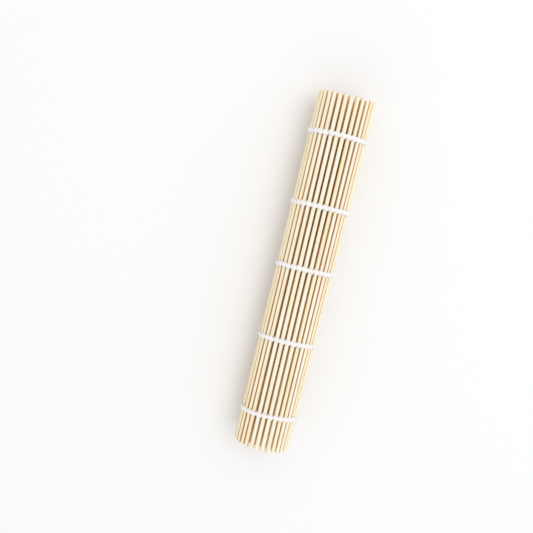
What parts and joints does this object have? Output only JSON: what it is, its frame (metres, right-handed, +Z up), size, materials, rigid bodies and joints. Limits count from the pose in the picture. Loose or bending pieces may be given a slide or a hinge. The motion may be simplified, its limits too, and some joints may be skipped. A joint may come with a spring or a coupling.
{
  "type": "sushi rolling mat",
  "caption": "Rolled mat of thin round bamboo sticks joined side by side by twined cotton strings, which unrolls flat for shaping rice rolls.",
  "frame": {"origin": "on the table, under the middle of the rolled mat", "axes": "+Y along the sticks, +X across the roll, +Z up"},
  "size_m": [0.04, 0.24, 0.0429],
  "materials": {
    "bamboo": "raw split bamboo, rounded and left unvarnished",
    "cotton": "twined white cotton string"
  },
  "bodies": {
    "outer_edge": {"stick_01": "bamboo", "start_loops": "cotton", "string_1": "cotton", "string_2": "cotton", "string_3": "cotton", "string_4": "cotton", "string_5": "cotton"},
    "row_02": {"stick_02": "bamboo"},
    "row_03": {"stick_03": "bamboo"},
    "row_04": {"stick_04": "bamboo", "rest_loops": "cotton"},
    "row_05": {"stick_05": "bamboo"},
    "row_06": {"stick_06": "bamboo"},
    "row_07": {"stick_07": "bamboo"},
    "row_08": {"stick_08": "bamboo"},
    "row_09": {"stick_09": "bamboo"},
    "row_10": {"stick_10": "bamboo"},
    "row_11": {"stick_11": "bamboo"},
    "row_12": {"stick_12": "bamboo"},
    "row_13": {"stick_13": "bamboo"},
    "row_14": {"stick_14": "bamboo"},
    "row_15": {"stick_15": "bamboo"},
    "row_16": {"stick_16": "bamboo"},
    "row_17": {"stick_17": "bamboo"},
    "row_18": {"stick_18": "bamboo"},
    "row_19": {"stick_19": "bamboo"},
    "row_20": {"stick_20": "bamboo"},
    "row_21": {"stick_21": "bamboo"},
    "row_22": {"stick_22": "bamboo"},
    "row_23": {"stick_23": "bamboo"},
    "row_24": {"stick_24": "bamboo"},
    "row_25": {"stick_25": "bamboo"},
    "row_26": {"stick_26": "bamboo"},
    "row_27": {"stick_27": "bamboo"},
    "row_28": {"stick_28": "bamboo"},
    "row_29": {"stick_29": "bamboo"},
    "row_30": {"stick_30": "bamboo"},
    "row_31": {"stick_31": "bamboo"},
    "row_32": {"stick_32": "bamboo"},
    "row_33": {"stick_33": "bamboo"},
    "row_34": {"stick_34": "bamboo"},
    "row_35": {"stick_35": "bamboo"},
    "row_36": {"stick_36": "bamboo"},
    "row_37": {"stick_37": "bamboo"},
    "row_38": {"stick_38": "bamboo"},
    "row_39": {"stick_39": "bamboo"},
    "row_40": {"stick_40": "bamboo"},
    "row_41": {"stick_41": "bamboo"},
    "row_42": {"stick_42": "bamboo"},
    "row_43": {"stick_43": "bamboo"},
    "row_44": {"stick_44": "bamboo"},
    "row_45": {"stick_45": "bamboo"},
    "row_46": {"stick_46": "bamboo"},
    "row_47": {"stick_47": "bamboo"},
    "row_48": {"stick_48": "bamboo"},
    "row_49": {"stick_49": "bamboo"},
    "row_50": {"stick_50": "bamboo"},
    "row_51": {"stick_51": "bamboo"},
    "row_52": {"stick_52": "bamboo"},
    "row_53": {"stick_53": "bamboo"}
  },
  "joints": [
    {"name": "bend_02", "type": "hinge", "parent": "outer_edge", "child": "row_02", "pos_m": [-0.00865, 0, 0.00215], "axis": [0, 1, 0], "range_deg": [-6, 0], "deforming": ["string_1", "string_2", "string_3", "string_4", "string_5"]},
    {"name": "bend_03", "type": "hinge", "parent": "row_02", "child": "row_03", "pos_m": [-0.0049, 0, 0.00215], "axis": [0, 1, 0], "range_deg": [-6, 0], "deforming": ["string_1", "string_2", "string_3", "string_4", "string_5"]},
    {"name": "bend_04", "type": "hinge", "parent": "row_03", "child": "row_04", "pos_m": [-0.00115, 0, 0.00215], "axis": [0, 1, 0], "range_deg": [-6, 0], "deforming": ["string_1", "string_2", "string_3", "string_4", "string_5"]},
    {"name": "bend_05", "type": "hinge", "parent": "row_04", "child": "row_05", "pos_m": [0.0026, 0, 0.00215], "axis": [0, 1, 0], "range_deg": [-1, 20.05], "deforming": ["string_1", "string_2", "string_3", "string_4", "string_5"]},
    {"name": "bend_06", "type": "hinge", "parent": "row_05", "child": "row_06", "pos_m": [0.00612, 0, 0.00344], "axis": [0, 1, 0], "range_deg": [-1, 10.21], "deforming": ["string_1", "string_2", "string_3", "string_4", "string_5"]},
    {"name": "bend_07", "type": "hinge", "parent": "row_06", "child": "row_07", "pos_m": [0.00936, 0, 0.00532], "axis": [0, 1, 0], "range_deg": [-1, 10.31], "deforming": ["string_1", "string_2", "string_3", "string_4", "string_5"]},
    {"name": "bend_08", "type": "hinge", "parent": "row_07", "child": "row_08", "pos_m": [0.01221, 0, 0.00776], "axis": [0, 1, 0], "range_deg": [-1, 10.42], "deforming": ["string_1", "string_2", "string_3", "string_4", "string_5"]},
    {"name": "bend_09", "type": "hinge", "parent": "row_08", "child": "row_09", "pos_m": [0.01457, 0, 0.01068], "axis": [0, 1, 0], "range_deg": [-1, 10.52], "deforming": ["string_1", "string_2", "string_3", "string_4", "string_5"]},
    {"name": "bend_10", "type": "hinge", "parent": "row_09", "child": "row_10", "pos_m": [0.01636, 0, 0.01397], "axis": [0, 1, 0], "range_deg": [-1, 10.63], "deforming": ["string_1", "string_2", "string_3", "string_4", "string_5"]},
    {"name": "bend_11", "type": "hinge", "parent": "row_10", "child": "row_11", "pos_m": [0.01751, 0, 0.01754], "axis": [0, 1, 0], "range_deg": [-1, 10.75], "deforming": ["string_1", "string_2", "string_3", "string_4", "string_5"]},
    {"name": "bend_12", "type": "hinge", "parent": "row_11", "child": "row_12", "pos_m": [0.01797, 0, 0.02126], "axis": [0, 1, 0], "range_deg": [-1, 10.86], "deforming": ["string_1", "string_2", "string_3", "string_4", "string_5"]},
    {"name": "bend_13", "type": "hinge", "parent": "row_12", "child": "row_13", "pos_m": [0.01773, 0, 0.02501], "axis": [0, 1, 0], "range_deg": [-1, 10.98], "deforming": ["string_1", "string_2", "string_3", "string_4", "string_5"]},
    {"name": "bend_14", "type": "hinge", "parent": "row_13", "child": "row_14", "pos_m": [0.01677, 0, 0.02863], "axis": [0, 1, 0], "range_deg": [-1, 11.11], "deforming": ["string_1", "string_2", "string_3", "string_4", "string_5"]},
    {"name": "bend_15", "type": "hinge", "parent": "row_14", "child": "row_15", "pos_m": [0.01514, 0, 0.03201], "axis": [0, 1, 0], "range_deg": [-1, 11.24], "deforming": ["string_1", "string_2", "string_3", "string_4", "string_5"]},
    {"name": "bend_16", "type": "hinge", "parent": "row_15", "child": "row_16", "pos_m": [0.01288, 0, 0.035], "axis": [0, 1, 0], "range_deg": [-1, 11.37], "deforming": ["string_1", "string_2", "string_3", "string_4", "string_5"]},
    {"name": "bend_17", "type": "hinge", "parent": "row_16", "child": "row_17", "pos_m": [0.01007, 0, 0.03749], "axis": [0, 1, 0], "range_deg": [-1, 11.51], "deforming": ["string_1", "string_2", "string_3", "string_4", "string_5"]},
    {"name": "bend_18", "type": "hinge", "parent": "row_17", "child": "row_18", "pos_m": [0.00682, 0, 0.03936], "axis": [0, 1, 0], "range_deg": [-1, 11.65], "deforming": ["string_1", "string_2", "string_3", "string_4", "string_5"]},
    {"name": "bend_19", "type": "hinge", "parent": "row_18", "child": "row_19", "pos_m": [0.00327, 0, 0.04055], "axis": [0, 1, 0], "range_deg": [-1, 11.8], "deforming": ["string_1", "string_2", "string_3", "string_4", "string_5"]},
    {"name": "bend_20", "type": "hinge", "parent": "row_19", "child": "row_20", "pos_m": [-0.00046, 0, 0.04098], "axis": [0, 1, 0], "range_deg": [-1, 11.96], "deforming": ["string_1", "string_2", "string_3", "string_4", "string_5"]},
    {"name": "bend_21", "type": "hinge", "parent": "row_20", "child": "row_21", "pos_m": [-0.00419, 0, 0.04063], "axis": [0, 1, 0], "range_deg": [-1, 12.12], "deforming": ["string_1", "string_2", "string_3", "string_4", "string_5"]},
    {"name": "bend_22", "type": "hinge", "parent": "row_21", "child": "row_22", "pos_m": [-0.00777, 0, 0.0395], "axis": [0, 1, 0], "range_deg": [-1, 12.29], "deforming": ["string_1", "string_2", "string_3", "string_4", "string_5"]},
    {"name": "bend_23", "type": "hinge", "parent": "row_22", "child": "row_23", "pos_m": [-0.01102, 0, 0.03764], "axis": [0, 1, 0], "range_deg": [-1, 12.46], "deforming": ["string_1", "string_2", "string_3", "string_4", "string_5"]},
    {"name": "bend_24", "type": "hinge", "parent": "row_23", "child": "row_24", "pos_m": [-0.0138, 0, 0.03511], "axis": [0, 1, 0], "range_deg": [-1, 12.64], "deforming": ["string_1", "string_2", "string_3", "string_4", "string_5"]},
    {"name": "bend_25", "type": "hinge", "parent": "row_24", "child": "row_25", "pos_m": [-0.01596, 0, 0.03205], "axis": [0, 1, 0], "range_deg": [-1, 12.84], "deforming": ["string_1", "string_2", "string_3", "string_4", "string_5"]},
    {"name": "bend_26", "type": "hinge", "parent": "row_25", "child": "row_26", "pos_m": [-0.01738, 0, 0.02858], "axis": [0, 1, 0], "range_deg": [-1, 13.04], "deforming": ["string_1", "string_2", "string_3", "string_4", "string_5"]},
    {"name": "bend_27", "type": "hinge", "parent": "row_26", "child": "row_27", "pos_m": [-0.01798, 0, 0.02488], "axis": [0, 1, 0], "range_deg": [-1, 13.24], "deforming": ["string_1", "string_2", "string_3", "string_4", "string_5"]},
    {"name": "bend_28", "type": "hinge", "parent": "row_27", "child": "row_28", "pos_m": [-0.01772, 0, 0.02113], "axis": [0, 1, 0], "range_deg": [-1, 13.46], "deforming": ["string_1", "string_2", "string_3", "string_4", "string_5"]},
    {"name": "bend_29", "type": "hinge", "parent": "row_28", "child": "row_29", "pos_m": [-0.01659, 0, 0.01756], "axis": [0, 1, 0], "range_deg": [-1, 13.7], "deforming": ["string_1", "string_2", "string_3", "string_4", "string_5"]},
    {"name": "bend_30", "type": "hinge", "parent": "row_29", "child": "row_30", "pos_m": [-0.01465, 0, 0.01435], "axis": [0, 1, 0], "range_deg": [-1, 13.94], "deforming": ["string_1", "string_2", "string_3", "string_4", "string_5"]},
    {"name": "bend_31", "type": "hinge", "parent": "row_30", "child": "row_31", "pos_m": [-0.012, 0, 0.0117], "axis": [0, 1, 0], "range_deg": [-1, 14.2], "deforming": ["string_1", "string_2", "string_3", "string_4", "string_5"]},
    {"name": "bend_32", "type": "hinge", "parent": "row_31", "child": "row_32", "pos_m": [-0.00877, 0, 0.00979], "axis": [0, 1, 0], "range_deg": [-1, 14.47], "deforming": ["string_1", "string_2", "string_3", "string_4", "string_5"]},
    {"name": "bend_33", "type": "hinge", "parent": "row_32", "child": "row_33", "pos_m": [-0.00517, 0, 0.00874], "axis": [0, 1, 0], "range_deg": [-1, 14.75], "deforming": ["string_1", "string_2", "string_3", "string_4", "string_5"]},
    {"name": "bend_34", "type": "hinge", "parent": "row_33", "child": "row_34", "pos_m": [-0.00142, 0, 0.00864], "axis": [0, 1, 0], "range_deg": [-1, 15.06], "deforming": ["string_1", "string_2", "string_3", "string_4", "string_5"]},
    {"name": "bend_35", "type": "hinge", "parent": "row_34", "child": "row_35", "pos_m": [0.00222, 0, 0.00952], "axis": [0, 1, 0], "range_deg": [-1, 15.38], "deforming": ["string_1", "string_2", "string_3", "string_4", "string_5"]},
    {"name": "bend_36", "type": "hinge", "parent": "row_35", "child": "row_36", "pos_m": [0.0055, 0, 0.01134], "axis": [0, 1, 0], "range_deg": [-1, 15.73], "deforming": ["string_1", "string_2", "string_3", "string_4", "string_5"]},
    {"name": "bend_37", "type": "hinge", "parent": "row_36", "child": "row_37", "pos_m": [0.00817, 0, 0.01397], "axis": [0, 1, 0], "range_deg": [-1, 16.1], "deforming": ["string_1", "string_2", "string_3", "string_4", "string_5"]},
    {"name": "bend_38", "type": "hinge", "parent": "row_37", "child": "row_38", "pos_m": [0.01, 0, 0.01725], "axis": [0, 1, 0], "range_deg": [-1, 16.5], "deforming": ["string_1", "string_2", "string_3", "string_4", "string_5"]},
    {"name": "bend_39", "type": "hinge", "parent": "row_38", "child": "row_39", "pos_m": [0.01082, 0, 0.02091], "axis": [0, 1, 0], "range_deg": [-1, 16.93], "deforming": ["string_1", "string_2", "string_3", "string_4", "string_5"]},
    {"name": "bend_40", "type": "hinge", "parent": "row_39", "child": "row_40", "pos_m": [0.01055, 0, 0.02465], "axis": [0, 1, 0], "range_deg": [-1, 17.39], "deforming": ["string_1", "string_2", "string_3", "string_4", "string_5"]},
    {"name": "bend_41", "type": "hinge", "parent": "row_40", "child": "row_41", "pos_m": [0.00916, 0, 0.02813], "axis": [0, 1, 0], "range_deg": [-1, 17.9], "deforming": ["string_1", "string_2", "string_3", "string_4", "string_5"]},
    {"name": "bend_42", "type": "hinge", "parent": "row_41", "child": "row_42", "pos_m": [0.00678, 0, 0.03103], "axis": [0, 1, 0], "range_deg": [-1, 18.45], "deforming": ["string_1", "string_2", "string_3", "string_4", "string_5"]},
    {"name": "bend_43", "type": "hinge", "parent": "row_42", "child": "row_43", "pos_m": [0.0036, 0, 0.03301], "axis": [0, 1, 0], "range_deg": [-1, 19.05], "deforming": ["string_1", "string_2", "string_3", "string_4", "string_5"]},
    {"name": "bend_44", "type": "hinge", "parent": "row_43", "child": "row_44", "pos_m": [-0.00005, 0, 0.03386], "axis": [0, 1, 0], "range_deg": [-1, 19.72], "deforming": ["string_1", "string_2", "string_3", "string_4", "string_5"]},
    {"name": "bend_45", "type": "hinge", "parent": "row_44", "child": "row_45", "pos_m": [-0.00378, 0, 0.03342], "axis": [0, 1, 0], "range_deg": [-1, 20.46], "deforming": ["string_1", "string_2", "string_3", "string_4", "string_5"]},
    {"name": "bend_46", "type": "hinge", "parent": "row_45", "child": "row_46", "pos_m": [-0.00711, 0, 0.0317], "axis": [0, 1, 0], "range_deg": [-1, 21.29], "deforming": ["string_1", "string_2", "string_3", "string_4", "string_5"]},
    {"name": "bend_47", "type": "hinge", "parent": "row_46", "child": "row_47", "pos_m": [-0.0096, 0, 0.0289], "axis": [0, 1, 0], "range_deg": [-1, 22.22], "deforming": ["string_1", "string_2", "string_3", "string_4", "string_5"]},
    {"name": "bend_48", "type": "hinge", "parent": "row_47", "child": "row_48", "pos_m": [-0.01084, 0, 0.02536], "axis": [0, 1, 0], "range_deg": [-1, 23.29], "deforming": ["string_1", "string_2", "string_3", "string_4", "string_5"]},
    {"name": "bend_49", "type": "hinge", "parent": "row_48", "child": "row_49", "pos_m": [-0.01058, 0, 0.02162], "axis": [0, 1, 0], "range_deg": [-1, 24.53], "deforming": ["string_1", "string_2", "string_3", "string_4", "string_5"]},
    {"name": "bend_50", "type": "hinge", "parent": "row_49", "child": "row_50", "pos_m": [-0.00879, 0, 0.01832], "axis": [0, 1, 0], "range_deg": [-1, 25.99], "deforming": ["string_1", "string_2", "string_3", "string_4", "string_5"]},
    {"name": "bend_51", "type": "hinge", "parent": "row_50", "child": "row_51", "pos_m": [-0.00573, 0, 0.01615], "axis": [0, 1, 0], "range_deg": [-1, 27.73], "deforming": ["string_1", "string_2", "string_3", "string_4", "string_5"]},
    {"name": "bend_52", "type": "hinge", "parent": "row_51", "child": "row_52", "pos_m": [-0.00202, 0, 0.01564], "axis": [0, 1, 0], "range_deg": [-1, 29.87], "deforming": ["string_1", "string_2", "string_3", "string_4", "string_5"]},
    {"name": "bend_53", "type": "hinge", "parent": "row_52", "child": "row_53", "pos_m": [0.00146, 0, 0.01705], "axis": [0, 1, 0], "range_deg": [-1, 32.58], "deforming": ["string_1", "string_2", "string_3", "string_4", "string_5"]}
  ]
}
